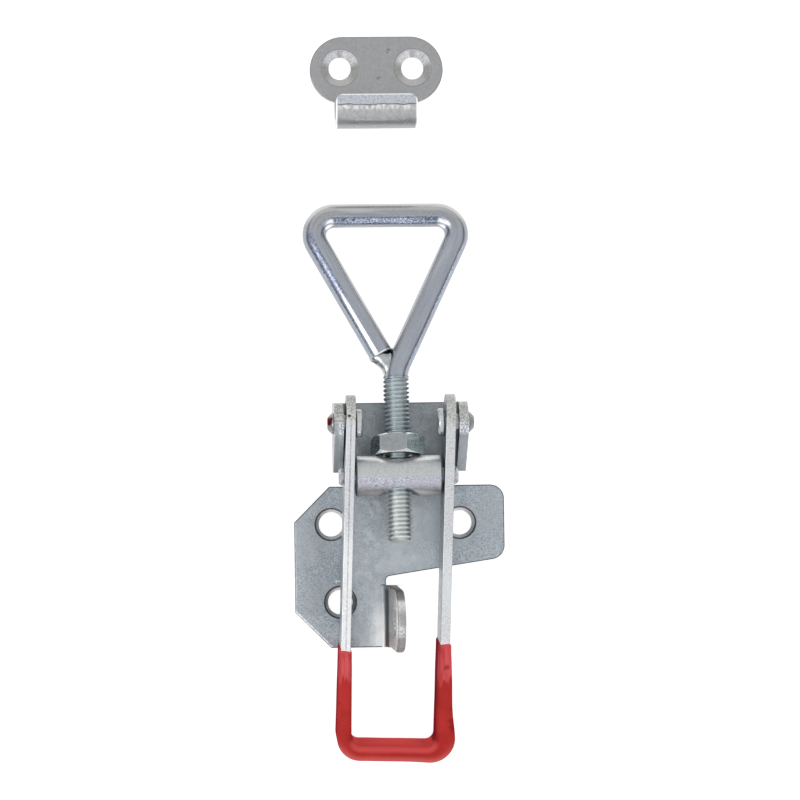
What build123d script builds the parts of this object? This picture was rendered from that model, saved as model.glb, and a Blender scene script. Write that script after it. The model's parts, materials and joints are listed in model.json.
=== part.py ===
from build123d import *
from math import asin, atan2, cos, hypot, radians, sin, sqrt, tan
import os

# Over centre toggle latch with its strike, lying on its mounting face, handle closed.
# Origin: on the mounting face, straight below the middle of the handle's pivot axis.
# +X across the latch, +Y towards the strike, +Z away from the mounting face.
# All sizes are in millimetres and degrees.

os.makedirs("parts", exist_ok=True)

# ---- play between the pieces ----------------------------------------------
pin_play = 0.06  # radial, every pin and shank in its hole
thread_play = 0.05  # radial, the rod in the trunnion and in the nut
side_play = 0.15  # endwise, between faces that turn against each other

# ---- base plate: one stamped sheet ----------------------------------------
sheet = 2.05
bend_r = 1.5  # inside radius of the bends
pivot_height = 15.2
ear_r = 4.65  # ear rounded about the pivot
ear_slope = 50.0  # its back edge falls away at this angle
ear_reach = 11.1  # from the pivot axis to the back end of the ear
neck_inset = 0.6  # neck narrower than the inside of the ears, each side
plate_start = 14.4  # from the pivot axis to the wide part of the plate
plate_end = 51.2
plate_left = 23.9
plate_right = 24.3
cut_corner = 8.1  # the two corners cut off on the left
blank_corner_r = 1.2
round_corner_r = 3.2  # the two corners on the right
slant_start = 31.1  # where the right half's lower edge would meet its side, falling towards the tab
hole_r = 2.8
hole_bevel_r = 3.6
hole_spacing = 29.5  # upper two holes
hole_row_x = -0.7  # middle of those two
hole_row_y = -23.0
low_hole_dx = 1.9  # third hole, from the upper left one
low_hole_dy = -17.8

# ---- padlock tab, bent up from the plate ----------------------------------
tab_face_x = -2.7  # its left face, at the foot
tab_lean = 1.3  # the bend stops this far short of upright
tab_width = 14.1
notch_width = 2.0  # bend relief above the tab
notch_depth = 0.4  # how far the relief reaches past the tab's left face
notch_r = 1.0  # its corner in the plate
eye_height = 20.3  # high enough for a straight shackle to clear the closed handle
eye_r = 3.5

# ---- handle: one flat strip on edge, bent into a U ------------------------
strip = 2.15
strip_width = 11.0
arm_span = 24.5  # over the outside of the arms
arm_end = 6.4  # beyond the pivot
arm_end_r = 5.4
handle_length = 75.8  # from the pivot to the outside of the closed end
handle_bend_r = 2.5
handle_skew = 1.8  # the U sits this far out of square with its pivot axis
handle_shift = -0.2  # and this far from the middle of the ears

# ---- grip: vinyl dipped over the closed end -------------------------------
coat_start = 0.35  # thin where it starts, thick at the closed end
coat_end = 0.65
coat_edge = 0.5
coat_start_left = 50.9  # from the pivot, along each arm
coat_start_right = 49.3

# ---- pivot rivets ---------------------------------------------------------
rivet_shank_r = 1.9
rivet_head_r = 3.15
rivet_head = 1.4
rivet_head_edge = 0.35
rivet_end_r = 2.4  # the end hammered over outside the ear
rivet_end = 1.5
rivet_end_edge = 1.05

# ---- trunnion -------------------------------------------------------------
trunnion_arm = 12.0  # from the pivot axis to the trunnion axis
trunnion_r = 4.55
trunnion_gap = 0.3  # from each end of the bar to the arm beside it
trunnion_edge = 0.3
trunnion_pin_r = 1.7
trunnion_head_r = 2.0
trunnion_head = 1.0
trunnion_sink_r = 4.7

# ---- pull rod -------------------------------------------------------------
thread_r = 3.0
thread_chamfer = 0.8
rod_r = 2.72
thread_start = 22.6  # from the trunnion axis, up the shank
thread_tail = 14.95  # and down past it
loop_reach = 60.4  # to the middle of the cross bar
loop_right_angle = 25.5  # the legs, from the shank's direction
loop_left_angle = 28.6
shank_bend = 24.2
leg_end_x = -3.34  # middle of the left leg's cut end, from the shank
leg_end_rise = 3.9  # and beyond the shank's bend
loop_corner_r = 4.5  # to the middle of the rod
shank_corner_r = 9.0
weld_thickness = 3.2
weld_start = 0.2  # from the thread's end
weld_bite = 0.6  # how deep it runs into the leg

# ---- lock nut -------------------------------------------------------------
nut_flats = 10.7
nut_height = 4.4
nut_gap = 0.1  # from the trunnion
nut_turn = -13.8  # where it was left, about the rod
nut_face_share = 0.95  # flat end face, as a share of the width across flats
nut_bevel_angle = 30.0
nut_sink = 0.4

# ---- strike ---------------------------------------------------------------
strike_sheet = 2.0
strike_x = -3.65
strike_y = 80.95
strike_length = 30.5
strike_width = 15.2
strike_hole_r = 2.53
strike_sink_r = 4.2
strike_hole_spacing = 16.7
strike_hole_dy = 0.45
hook_width = 18.5
hook_shift = -0.4  # off the middle of the plate
hook_play = 0.3  # radial, the cross bar in the hook
hook_reach = 8.75  # from the middle of the plate to the middle of the roll
hook_lip = 2.4
hook_lip_r = 1.7

# ---- worked out from the above --------------------------------------------
skew = radians(handle_skew)
arm_half = arm_span / 2
ear_inner = arm_half / cos(skew) + ear_reach * tan(skew) + abs(handle_shift) + side_play
ear_outer = ear_inner + sheet

# The handle has dropped until the grip's lower edge meets the mounting face.
grip_low_y = handle_length + coat_end - coat_edge
grip_half = strip_width / 2 + coat_end
handle_fall = asin(pivot_height / hypot(grip_low_y, grip_half)) - atan2(grip_half, grip_low_y)

arm_down = Vector(0, -cos(handle_fall), -sin(handle_fall))
handle_across = Vector(1, 0, 0) * cos(skew) + arm_down * sin(skew)
handle_normal = Vector(0, -sin(handle_fall), cos(handle_fall))
pivot = Vector(0, 0, pivot_height)
handle_origin = pivot + Vector(handle_shift, 0, 0)
handle_plane = Plane(origin=handle_origin, x_dir=handle_across, z_dir=handle_normal)

# The rod's cross bar lies on the mounting face.
trunnion_centre = pivot + arm_down * trunnion_arm
trunnion_x = handle_shift - trunnion_arm * tan(skew)
rod_origin = Vector(trunnion_x, trunnion_centre.Y, trunnion_centre.Z)
rod_fall = asin((rod_origin.Z - rod_r) / loop_reach)
rod_dir = Vector(0, cos(rod_fall), -sin(rod_fall))
rod_normal = Vector(0, sin(rod_fall), cos(rod_fall))
rod_plane = Plane(origin=rod_origin, x_dir=(1, 0, 0), z_dir=rod_normal)
pivot_across = Plane(origin=pivot, z_dir=(1, 0, 0))
trunnion_across = Plane(origin=trunnion_centre, z_dir=(1, 0, 0))


def arm_face_x(side, half, distance):
    """Where an arm's face crosses a line parallel to the pivot axis, this far from it."""
    return handle_shift + side * half / cos(skew) - distance * tan(skew)


# ---- base plate -----------------------------------------------------------
slope = radians(ear_slope)
slope_top_y = -ear_r * sin(slope)
slope_top_z = pivot_height + ear_r * cos(slope)
ear_back_z = slope_top_z - (ear_reach + slope_top_y) * tan(slope)
bend_outer_r = bend_r + sheet

with BuildPart() as ears:
    with BuildSketch(Plane.XZ):
        with BuildLine():
            outer = FilletPolyline(
                (-ear_outer, pivot_height + ear_r),
                (-ear_outer, 0),
                (ear_outer, 0),
                (ear_outer, pivot_height + ear_r),
                radius=bend_outer_r,
            )
            inner = FilletPolyline(
                (ear_inner, pivot_height + ear_r),
                (ear_inner, sheet),
                (-ear_inner, sheet),
                (-ear_inner, pivot_height + ear_r),
                radius=bend_r,
            )
            Line(outer @ 1, inner @ 0)
            Line(inner @ 1, outer @ 0)
        make_face()
    extrude(amount=ear_reach, both=True)
    with BuildSketch(Plane.YZ):
        with BuildLine():
            Polyline(
                (slope_top_y, slope_top_z),
                (-ear_reach, ear_back_z),
                (-ear_reach, 0),
                (ear_r, 0),
                (ear_r, pivot_height),
            )
            CenterArc((0, pivot_height), ear_r, 0, 90 + ear_slope)
        make_face()
    extrude(amount=ear_outer, both=True, mode=Mode.INTERSECT)
    with Locations(pivot_across):
        Hole(rivet_shank_r + pin_play)

tab_low_y = -plate_end
tab_high_y = tab_low_y + tab_width
tab_outer_x = tab_face_x + sheet
tab_bend_x = tab_face_x - bend_r
lobe_r = tab_width / 2
eye_y = tab_low_y + lobe_r
tab_top = eye_height + lobe_r
tab_shift = tab_top * tan(radians(tab_lean))

with BuildPart() as tab:
    with BuildSketch(Plane.XZ):
        with BuildLine():
            outer = FilletPolyline(
                (tab_bend_x - bend_r, 0),
                (tab_outer_x, 0),
                (tab_outer_x + tab_shift, tab_top),
                radius=bend_outer_r,
            )
            inner = FilletPolyline(
                (tab_face_x + tab_shift, tab_top),
                (tab_face_x, sheet),
                (tab_bend_x - bend_r, sheet),
                radius=bend_r,
            )
            Line(outer @ 1, inner @ 0)
            Line(inner @ 1, outer @ 0)
        make_face()
    extrude(amount=plate_end)
    with BuildSketch(Plane.YZ):
        with Locations((eye_y, eye_height)):
            Circle(lobe_r)
        with Locations(((tab_low_y + tab_high_y) / 2, sheet / 2)):
            Rectangle(tab_width, sheet)
        make_hull()
    extrude(amount=plate_left, both=True, mode=Mode.INTERSECT)
    with Locations(Plane(origin=(0, eye_y, eye_height), z_dir=(1, 0, 0))):
        Hole(eye_r)

neck_half = ear_inner - neck_inset
notch_x = tab_face_x - notch_depth
notch_top_y = tab_high_y + notch_width
upper_left_hole = (hole_row_x - hole_spacing / 2, hole_row_y)
upper_right_hole = (hole_row_x + hole_spacing / 2, hole_row_y)
low_hole = (upper_left_hole[0] + low_hole_dx, hole_row_y + low_hole_dy)

with BuildPart() as base_plate:
    with BuildSketch():
        with BuildLine():
            Polyline(
                (-neck_half, ear_r),
                (-neck_half, -plate_start),
                (-plate_left + cut_corner, -plate_start),
                (-plate_left, -plate_start - cut_corner),
                (-plate_left, -plate_end + cut_corner),
                (-plate_left + cut_corner, -plate_end),
                (tab_bend_x, tab_low_y),
                (tab_bend_x, tab_high_y),
                (notch_x, tab_high_y),
                (notch_x, notch_top_y),
                (plate_right, -slant_start),
                (plate_right, -plate_start),
                (neck_half, -plate_start),
                (neck_half, ear_r),
                close=True,
            )
        make_face()
        corners = vertices()
        fillet(corners.filter_by(lambda v: v.X > neck_half + neck_inset), radius=round_corner_r)
        fillet(corners.filter_by(lambda v: v.X < -neck_half - neck_inset), radius=blank_corner_r)
        fillet(corners.group_by(Axis.Y)[-1], radius=blank_corner_r)
        notch_corner = Vector(notch_x, notch_top_y)
        fillet(vertices().sort_by_distance(notch_corner)[0], radius=notch_r)
    extrude(amount=sheet)
    add(ears.part)
    add(tab.part)
    with Locations(*[(x, y, sheet) for x, y in (upper_left_hole, upper_right_hole, low_hole)]):
        CounterSinkHole(radius=hole_r, counter_sink_radius=hole_bevel_r, depth=sheet, counter_sink_angle=90)

base_plate.part.label = "base_plate"
export_step(base_plate.part, "parts/base_plate.step")

# ---- handle ---------------------------------------------------------------
arm_inner_half = arm_half - strip


def arm_end_y(x):
    """The arms' ends stay level with the pivot axis, though the U is skewed."""
    return (arm_end + x * sin(skew)) / cos(skew)


with BuildPart() as handle:
    with BuildSketch(handle_plane):
        with BuildLine():
            outer = FilletPolyline(
                (-arm_half, arm_end_y(-arm_half)),
                (-arm_half, -handle_length),
                (arm_half, -handle_length),
                (arm_half, arm_end_y(arm_half)),
                radius=handle_bend_r + strip,
            )
            inner = FilletPolyline(
                (arm_inner_half, arm_end_y(arm_inner_half)),
                (arm_inner_half, strip - handle_length),
                (-arm_inner_half, strip - handle_length),
                (-arm_inner_half, arm_end_y(-arm_inner_half)),
                radius=handle_bend_r,
            )
            Line(outer @ 1, inner @ 0)
            Line(inner @ 1, outer @ 0)
        make_face()
    extrude(amount=strip_width / 2, both=True)
    fillet(handle.edges().filter_by(Axis.X).sort_by(Axis.Y)[-4:], radius=arm_end_r)
    with Locations(pivot_across):
        Hole(rivet_shank_r + pin_play)
    with Locations(trunnion_across):
        Hole(trunnion_pin_r + pin_play)

handle.part.label = "handle"
export_step(handle.part, "parts/handle.step")

# ---- grip -----------------------------------------------------------------
with BuildPart() as grip:
    with BuildSketch(handle_plane):
        with BuildLine():
            outer = FilletPolyline(
                (-arm_half - coat_start, -coat_start_left),
                (-arm_half - coat_end, -handle_length - coat_end),
                (arm_half + coat_end, -handle_length - coat_end),
                (arm_half + coat_start, -coat_start_right),
                radius=handle_bend_r + strip + coat_end,
            )
            inner = FilletPolyline(
                (arm_inner_half - coat_start, -coat_start_right),
                (arm_inner_half - coat_end, strip + coat_end - handle_length),
                (coat_end - arm_inner_half, strip + coat_end - handle_length),
                (coat_start - arm_inner_half, -coat_start_left),
                radius=handle_bend_r - coat_end,
            )
            Line(outer @ 1, inner @ 0)
            Line(inner @ 1, outer @ 0)
        make_face()
    extrude(amount=grip_half, both=True)
    long_faces = grip.faces().filter_by(lambda f: abs(f.normal_at().dot(handle_normal)) > cos(skew))
    chamfer(long_faces.edges().filter_by(lambda e: e.length > strip + coat_end + coat_start), length=coat_edge)
    add(handle.part, mode=Mode.SUBTRACT)

grip.part.label = "grip"
export_step(grip.part, "parts/grip.step")

# ---- pivot rivets ---------------------------------------------------------
head_turn = side_play + rivet_head_r * tan(skew)

for name, side in (("pivot_rivet_left", -1), ("pivot_rivet_right", 1)):
    head_face = side * arm_face_x(side, arm_inner_half, 0) - head_turn
    with BuildPart() as rivet:
        with BuildSketch(Plane(origin=pivot, x_dir=(side, 0, 0), z_dir=(0, 0, 1))):
            with BuildLine():
                Polyline(
                    (head_face - rivet_head, 0),
                    (head_face - rivet_head, rivet_head_r),
                    (head_face, rivet_head_r),
                    (head_face, rivet_shank_r),
                    (ear_outer, rivet_shank_r),
                    (ear_outer, rivet_end_r),
                    (ear_outer + rivet_end, rivet_end_r),
                    (ear_outer + rivet_end, 0),
                    close=True,
                )
            make_face()
        revolve(axis=Axis(pivot, (side, 0, 0)))
        rims = rivet.edges().filter_by(GeomType.CIRCLE).sort_by(lambda e: abs(e.center().X))
        chamfer(rims[0], length=rivet_head_edge)
        chamfer(rims[-1], length=rivet_end_edge)
    rivet.part.label = name
    export_step(rivet.part, "parts/" + name + ".step")

# ---- trunnion -------------------------------------------------------------
pin_face_left = arm_face_x(-1, arm_half, trunnion_arm) - side_play - trunnion_head_r * tan(skew)
pin_face_right = arm_face_x(1, arm_half, trunnion_arm) + side_play + trunnion_head_r * tan(skew)
bar_half = arm_inner_half / cos(skew) - trunnion_r * tan(skew) - trunnion_gap
bar_left = trunnion_x - bar_half
bar_right = trunnion_x + bar_half

with BuildPart() as trunnion:
    with BuildSketch(Plane(origin=(0, rod_origin.Y, rod_origin.Z))):
        with BuildLine():
            Polyline(
                (pin_face_left - trunnion_head, 0),
                (pin_face_left - trunnion_head, trunnion_head_r),
                (pin_face_left, trunnion_head_r),
                (pin_face_left, trunnion_pin_r),
                (bar_left, trunnion_pin_r),
                (bar_left, trunnion_r),
                (bar_right, trunnion_r),
                (bar_right, trunnion_pin_r),
                (pin_face_right, trunnion_pin_r),
                (pin_face_right, trunnion_head_r),
                (pin_face_right + trunnion_head, trunnion_head_r),
                (pin_face_right + trunnion_head, 0),
                close=True,
            )
        make_face()
    revolve(axis=Axis(rod_origin, (1, 0, 0)))
    rings = trunnion.edges().filter_by(GeomType.CIRCLE)
    chamfer(rings.filter_by(lambda e: e.radius > trunnion_head_r + pin_play), length=trunnion_edge)
    ends = rings.sort_by(Axis.X)
    chamfer([ends[0], ends[-1]], length=trunnion_head / 2)
    for way in (1, -1):
        with Locations(Plane(origin=rod_origin + rod_dir * trunnion_r * way, z_dir=rod_dir * way)):
            CounterSinkHole(
                radius=thread_r + thread_play,
                counter_sink_radius=trunnion_sink_r,
                depth=2 * trunnion_r,
                counter_sink_angle=90,
            )

trunnion.part.label = "trunnion"
export_step(trunnion.part, "parts/trunnion.step")

# ---- pull rod -------------------------------------------------------------
loop_right_corner = (loop_reach - shank_bend) * tan(radians(loop_right_angle))
left_angle = radians(loop_left_angle)
leg_dir = Vector(sin(left_angle), -cos(left_angle))
leg_side = Vector(-cos(left_angle), -sin(left_angle))
leg_end = Vector(leg_end_x, shank_bend + leg_end_rise)
loop_left_corner = leg_end.X - (loop_reach - leg_end.Y) * tan(left_angle)
weld_low = thread_start + weld_start
weld_side = sqrt(rod_r**2 - (weld_thickness / 2) ** 2)
weld_outer = leg_end + leg_side * weld_side
weld_inner = leg_end - leg_side * weld_side / 3

# The bead runs from the cut end of the left leg down to the side of the shank.
with BuildPart() as weld:
    with BuildSketch(rod_plane):
        with BuildLine():
            hollow = TangentArc((-weld_side, weld_low), (weld_outer.X, weld_outer.Y), tangent=(0, 1))
            Polyline(
                hollow @ 1,
                weld_outer - leg_dir * weld_bite,
                weld_inner - leg_dir * weld_bite,
                weld_inner,
                (0, leg_end.Y - rod_r),
                (0, weld_low),
                hollow @ 0,
            )
        make_face()
    extrude(amount=weld_thickness / 2, both=True)

with BuildPart() as pull_rod:
    with BuildLine(rod_plane) as bend_line:
        FilletPolyline(
            (0, 0),
            (0, shank_bend),
            (loop_right_corner, loop_reach),
            (loop_left_corner, loop_reach),
            (leg_end.X, leg_end.Y),
            radius=[shank_corner_r, loop_corner_r, loop_corner_r],
        )
    with BuildSketch(Plane(origin=bend_line.line @ 0, z_dir=bend_line.line % 0)):
        Circle(rod_r)
    sweep()
    with BuildSketch(Plane(origin=rod_origin - rod_dir * thread_tail, z_dir=rod_dir)):
        Circle(thread_r)
    extrude(amount=thread_tail + thread_start)
    add(weld.part)
    chamfer(pull_rod.edges().filter_by(GeomType.CIRCLE).sort_by(Axis.Y)[0], length=thread_chamfer)

pull_rod.part.label = "pull_rod"
export_step(pull_rod.part, "parts/pull_rod.step")

# ---- lock nut -------------------------------------------------------------
nut_origin = rod_origin + rod_dir * (trunnion_r + nut_gap)
nut_corner_r = nut_flats / sqrt(3)
nut_face_r = nut_flats / 2 * nut_face_share
nut_bevel = (nut_corner_r - nut_face_r) * tan(radians(nut_bevel_angle))

with BuildPart() as lock_nut:
    with BuildSketch(Plane(origin=nut_origin, x_dir=(1, 0, 0), z_dir=rod_dir)):
        RegularPolygon(nut_flats / 2, 6, major_radius=False, rotation=nut_turn)
    extrude(amount=nut_height)
    with BuildSketch(Plane(origin=nut_origin, x_dir=(1, 0, 0), z_dir=rod_normal)):
        with BuildLine():
            Polyline(
                (0, 0),
                (nut_face_r, 0),
                (nut_corner_r, nut_bevel),
                (nut_corner_r, nut_height - nut_bevel),
                (nut_face_r, nut_height),
                (0, nut_height),
                close=True,
            )
        make_face()
    revolve(axis=Axis(nut_origin, rod_dir), mode=Mode.INTERSECT)
    for start, way in ((nut_height, 1), (0, -1)):
        with Locations(Plane(origin=nut_origin + rod_dir * start, z_dir=rod_dir * way)):
            CounterSinkHole(
                radius=thread_r + thread_play,
                counter_sink_radius=thread_r + thread_play + nut_sink,
                depth=nut_height,
                counter_sink_angle=90,
            )

lock_nut.part.label = "lock_nut"
export_step(lock_nut.part, "parts/lock_nut.step")

# ---- strike ---------------------------------------------------------------
hook_inner_r = rod_r + hook_play
hook_outer_r = hook_inner_r + strike_sheet
roll_y = strike_y - hook_reach
roll_z = hook_outer_r
hook_top = 2 * hook_outer_r
hook_x = strike_x + hook_shift

with BuildPart() as strike_plate:
    with BuildSketch(Plane.YZ.offset(hook_x)):
        with BuildLine():
            Polyline(
                (roll_y, 0),
                (strike_y, 0),
                (strike_y, strike_sheet),
                (roll_y, strike_sheet),
            )
            CenterArc((roll_y, roll_z), hook_inner_r, 270, -180)
            Polyline(
                (roll_y, hook_top - strike_sheet),
                (roll_y + hook_lip, hook_top - strike_sheet),
                (roll_y + hook_lip, hook_top),
                (roll_y, hook_top),
            )
            CenterArc((roll_y, roll_z), hook_outer_r, 90, 180)
        make_face()
    extrude(amount=hook_width / 2, both=True)
    lip_corners = strike_plate.edges().filter_by(Axis.Z).group_by(lambda e: round(e.center().Z, 3))[-1]
    fillet(lip_corners, radius=hook_lip_r)
    with BuildSketch():
        with Locations((strike_x, strike_y)):
            SlotOverall(strike_length, strike_width)
    extrude(amount=strike_sheet)
    with Locations((strike_x, strike_y + strike_hole_dy, strike_sheet)):
        with GridLocations(strike_hole_spacing, 0, 2, 1):
            CounterSinkHole(
                radius=strike_hole_r,
                counter_sink_radius=strike_sink_r,
                depth=strike_sheet,
                counter_sink_angle=90,
            )

strike_plate.part.label = "strike_plate"
export_step(strike_plate.part, "parts/strike_plate.step")
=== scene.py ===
# %% [markdown]
# An over centre toggle latch, dressed for the camera.
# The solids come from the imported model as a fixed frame. Each cell below gives one piece its
# finish, or makes a finer piece that stands in the same place as the solid.

import json
import math
from contextlib import contextmanager

import bmesh
import bpy
from mathutils import Matrix, Vector, noise


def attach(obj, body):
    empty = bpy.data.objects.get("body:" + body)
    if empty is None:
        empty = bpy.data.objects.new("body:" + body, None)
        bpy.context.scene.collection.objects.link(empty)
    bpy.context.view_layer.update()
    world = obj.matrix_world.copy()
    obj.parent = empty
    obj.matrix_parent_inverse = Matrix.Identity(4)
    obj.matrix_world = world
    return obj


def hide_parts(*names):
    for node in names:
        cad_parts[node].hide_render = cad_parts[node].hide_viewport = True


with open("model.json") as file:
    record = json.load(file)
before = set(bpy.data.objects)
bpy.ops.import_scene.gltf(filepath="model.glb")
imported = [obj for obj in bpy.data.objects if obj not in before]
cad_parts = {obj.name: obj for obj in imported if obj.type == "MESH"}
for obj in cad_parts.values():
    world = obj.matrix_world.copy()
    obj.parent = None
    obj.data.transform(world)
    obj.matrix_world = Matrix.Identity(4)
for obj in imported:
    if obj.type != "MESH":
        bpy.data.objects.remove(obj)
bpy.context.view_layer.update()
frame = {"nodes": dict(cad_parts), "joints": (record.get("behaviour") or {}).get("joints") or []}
MM = 0.001
joints = {joint["name"]: joint for joint in frame["joints"]}

# %% [markdown]
# Two directions do most of the placing. The pull rod lies nose down, with its cross bar on the
# floor, and the handle slopes down to its grip. The joints say where both of them are, so no
# place is measured twice: a point is given as so far along the piece and so far across it.

# %% Directions of the rod and the handle
LEFT, RIGHT = (-1, 0, 0), (1, 0, 0)
NEAR, FAR = (0, -1, 0), (0, 1, 0)
DOWN, UP = (0, 0, -1), (0, 0, 1)
X_AXIS = Vector(RIGHT)
rod_origin = Vector(joints["nut_turn"]["pos_m"])
rod_dir = Vector(joints["rod_adjust"]["axis"])
rod_up = Vector((0, -rod_dir.z, rod_dir.y))

pivot = Vector(joints["handle_hinge"]["pos_m"])
arm_down = (Vector(joints["trunnion_turn"]["pos_m"]) - pivot).normalized()
handle_skew = math.radians(1.8)
handle_shift = -0.2 * MM
handle_origin = pivot + X_AXIS * handle_shift
arm_dir = arm_down * math.cos(handle_skew) - X_AXIS * math.sin(handle_skew)
across = X_AXIS * math.cos(handle_skew) + arm_down * math.sin(handle_skew)
handle_up = Vector((0, arm_down.z, -arm_down.y))


def on_rod(side, along, up=0):
    """A point in millimetres from the middle of the trunnion, along the rod and beside it."""
    return rod_origin + (X_AXIS * side + rod_dir * along + rod_up * up) * MM


def on_handle(side, along, up=0):
    """A point in millimetres from the pivot, along the handle and beside it."""
    return handle_origin + (across * side + arm_dir * along + handle_up * up) * MM


def in_mm(point):
    """A point's coordinates in millimetres."""
    return [value / MM for value in point]


print("rod falls", round(math.degrees(math.asin(-rod_dir.z)), 2), "degrees")

# %% [markdown]
# A node tree is a set of nodes whose sockets hold numbers or are joined to other nodes. Finishes,
# thread and studio all need many, so one call adds a node and fills its sockets, and what it puts
# out can be added and multiplied like a number.

# %% Nodes and the values they work out


def fill(tree, node, sockets):
    """Gives each socket a number, or joins it to another node's output."""
    for key, value in (sockets or {}).items():
        value = getattr(value, "output", value)
        if hasattr(value, "is_output"):
            tree.links.new(value, node.inputs[key])
        else:
            node.inputs[key].default_value = value


class Value:
    """What a node puts out. Sums with values make new nodes; a share is a value from 0 to 1."""

    def __init__(self, nodes, output):
        self.nodes = nodes
        self.output = output

    def math(self, operation, *others, clamp=False):
        """A sum with this value first."""
        sockets = dict(enumerate((self, *others)))
        return self.nodes.add("ShaderNodeMath", sockets, operation=operation, use_clamp=clamp)

    def __add__(self, other):
        return self.math("ADD", other)

    def __sub__(self, other):
        return self.math("SUBTRACT", other)

    def __mul__(self, other):
        return self.math("MULTIPLY", other)

    def __or__(self, other):
        """The larger of two."""
        return self.math("MAXIMUM", other)

    def off(self, middle=0):
        """How far it is from a middle, on either side."""
        return (self - middle).math("ABSOLUTE")

    def wander(self, by, reach):
        """Shifted to and fro by a noise, so that a line drawn at it is uneven."""
        return self + by.math("MULTIPLY_ADD", reach, -reach / 2)

    def ramp(self, low, high, start=0, end=1):
        """Start below low, end above high, smooth between them."""
        sockets = dict(enumerate((self, low, high, start, end)))
        return self.nodes.add("ShaderNodeMapRange", sockets, interpolation_type="SMOOTHSTEP")

    def band(self, rise, fall, soft):
        """1 between rise and fall, 0 outside, with soft ends."""
        return self.ramp(rise, rise + soft) * self.ramp(fall - soft, fall, 1, 0)


class Nodes:
    """The nodes of one tree, which is a material's, a world's or a shape's."""

    def __init__(self, tree):
        self.tree = tree

    def add(self, kind, sockets=None, output=0, **settings):
        """Adds a node with its settings and its sockets filled, and gives one of its outputs."""
        node = self.tree.nodes.new(kind)
        for key, value in settings.items():
            setattr(node, key, value)
        fill(self.tree, node, sockets)
        return Value(self, node.outputs[output]) if node.outputs else None


# %% [markdown]
# Zinc plate is a metal, so its colour is what it reflects. Close up it is mottled: small
# crystals, a slow drift from blue to grey, and pits. A finish is built like coats of paint: the
# material keeps a running colour, and each coat covers it by a share from 0 to 1. The shares
# read Object coordinates in millimetres, so the pattern stays put when the piece moves.

# %% A builder for finishes


class Finish(Nodes):
    """A material built up coat by coat, over mottled zinc if it is given tones."""

    def __init__(self, name, *tones):
        self.material = bpy.data.materials.new(name)
        self.material.use_nodes = True
        super().__init__(self.material.node_tree)
        self.normal = self.add("ShaderNodeTexCoord", output="Normal")
        sockets = {0: self.add("ShaderNodeTexCoord", output="Object"), "Scale": 1 / MM}
        self.place = self.add("ShaderNodeVectorMath", sockets, operation="SCALE")
        if tones:
            self.colour, self.crystals = self.zinc(*tones)

    def noise(self, size, detail=2, rough=0.5, stretch=None, at=None):
        """A noise whose spots are about this many millimetres across."""
        where = at or self.place
        if stretch:
            where = self.add("ShaderNodeMapping", {"Vector": where, "Scale": stretch})
        sockets = {"Vector": where, "Scale": 1 / size, "Detail": detail, "Roughness": rough}
        return self.add("ShaderNodeTexNoise", sockets, "Fac")

    def mottle(self, size, low, high, start=0, end=1, detail=3):
        """A noise turned into a share: start where it is below low, end where it is above high."""
        return self.noise(size, detail).ramp(low, high, start, end)

    def uneven(self, size, least, most):
        """A roughness that drifts between two values."""
        return self.mottle(size, 0.3, 0.7, least, most)

    def vector(self, operation, first, second, output="Value"):
        """A sum with two vectors."""
        return self.add("ShaderNodeVectorMath", {0: first, 1: second}, output, operation=operation)

    def spot(self, centre, size, edge=0.4, wobble=0):
        """1 within size millimetres of a point, 0 outside, with an uneven edge."""
        distance = self.vector("DISTANCE", self.place, in_mm(centre))
        if wobble:
            distance = distance.wander(self.noise(size * 0.6), wobble)
        return distance.ramp(size * (1 - edge), size, 1, 0)

    def axis(self, direction, origin=(0, 0, 0)):
        """How many millimetres a point lies along a direction."""
        shifted = self.vector("SUBTRACT", self.place, in_mm(origin), "Vector")
        return self.vector("DOT_PRODUCT", shifted, direction)

    def tilt(self, direction):
        """How far the surface faces this way in the piece's own frame, from -1 to 1."""
        return self.vector("DOT_PRODUCT", self.normal, direction)

    def facing(self, direction, low, high):
        """1 where the surface faces this way, 0 elsewhere."""
        return self.tilt(direction).ramp(low, high)

    def layers(self, colour, *coats):
        """A colour under several coats, each given as its share and its own colour."""
        for share, tint in coats:
            sockets = {0: share}
            for index, part in ((6, colour), (7, tint)):
                sockets[index] = part if hasattr(part, "output") else (*part, 1)
            colour = self.add("ShaderNodeMix", sockets, 2, data_type="RGBA")
        return colour

    def mix(self, share, first, second):
        """The first colour, covered by the second to this share."""
        return self.layers(first, (share, second))

    def coat(self, tint, share):
        """Covers the running colour with another one."""
        self.colour = self.mix(share, self.colour, tint)

    def zinc(self, dark, light, tint, crystal=0.42, contrast=0.22, drift=9):
        """Mottled zinc between a dark and a light grey, drifting to a tint, and its crystals."""
        fine = self.noise(crystal, 2.5, 0.65)
        grain = fine.ramp(0.5 - contrast, 0.5 + contrast)
        cloud = self.mottle(drift, 0.38, 0.66, 0, 0.6)
        return self.mix(cloud, self.mix(grain, dark, light), tint), fine

    def finish(self, roughness, depth, relief=None, metallic=1, specular=0.5):
        """The material, of the running colour, with a relief this many millimetres deep."""
        sockets = {"Height": relief or self.crystals, "Strength": 1, "Distance": depth * MM}
        fill(self.tree, self.tree.nodes["Principled BSDF"], {
            "Base Color": self.colour, "Roughness": roughness, "Metallic": metallic,
            "Specular IOR Level": specular, "Normal": self.add("ShaderNodeBump", sockets),
        })
        print(self.material.name, len(self.tree.nodes), "nodes")
        return self.material


WHITE = (1, 1, 1)
BRIGHT_ZINC = (0.95, 0.96, 0.96)

# %% [markdown]
# Real edges are never quite sharp, and the thin bright or dark line along them is what makes
# metal read as metal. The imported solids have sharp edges, so the sheet pieces are copied, their
# flat faces joined up again, and every sharp edge gets a small Bevel.

# %% A copy of a solid with softened edges


def new_object(name, data):
    """An object with this data, linked into the scene."""
    made = bpy.data.objects.new(name, data)
    bpy.context.scene.collection.objects.link(made)
    return made


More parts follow.
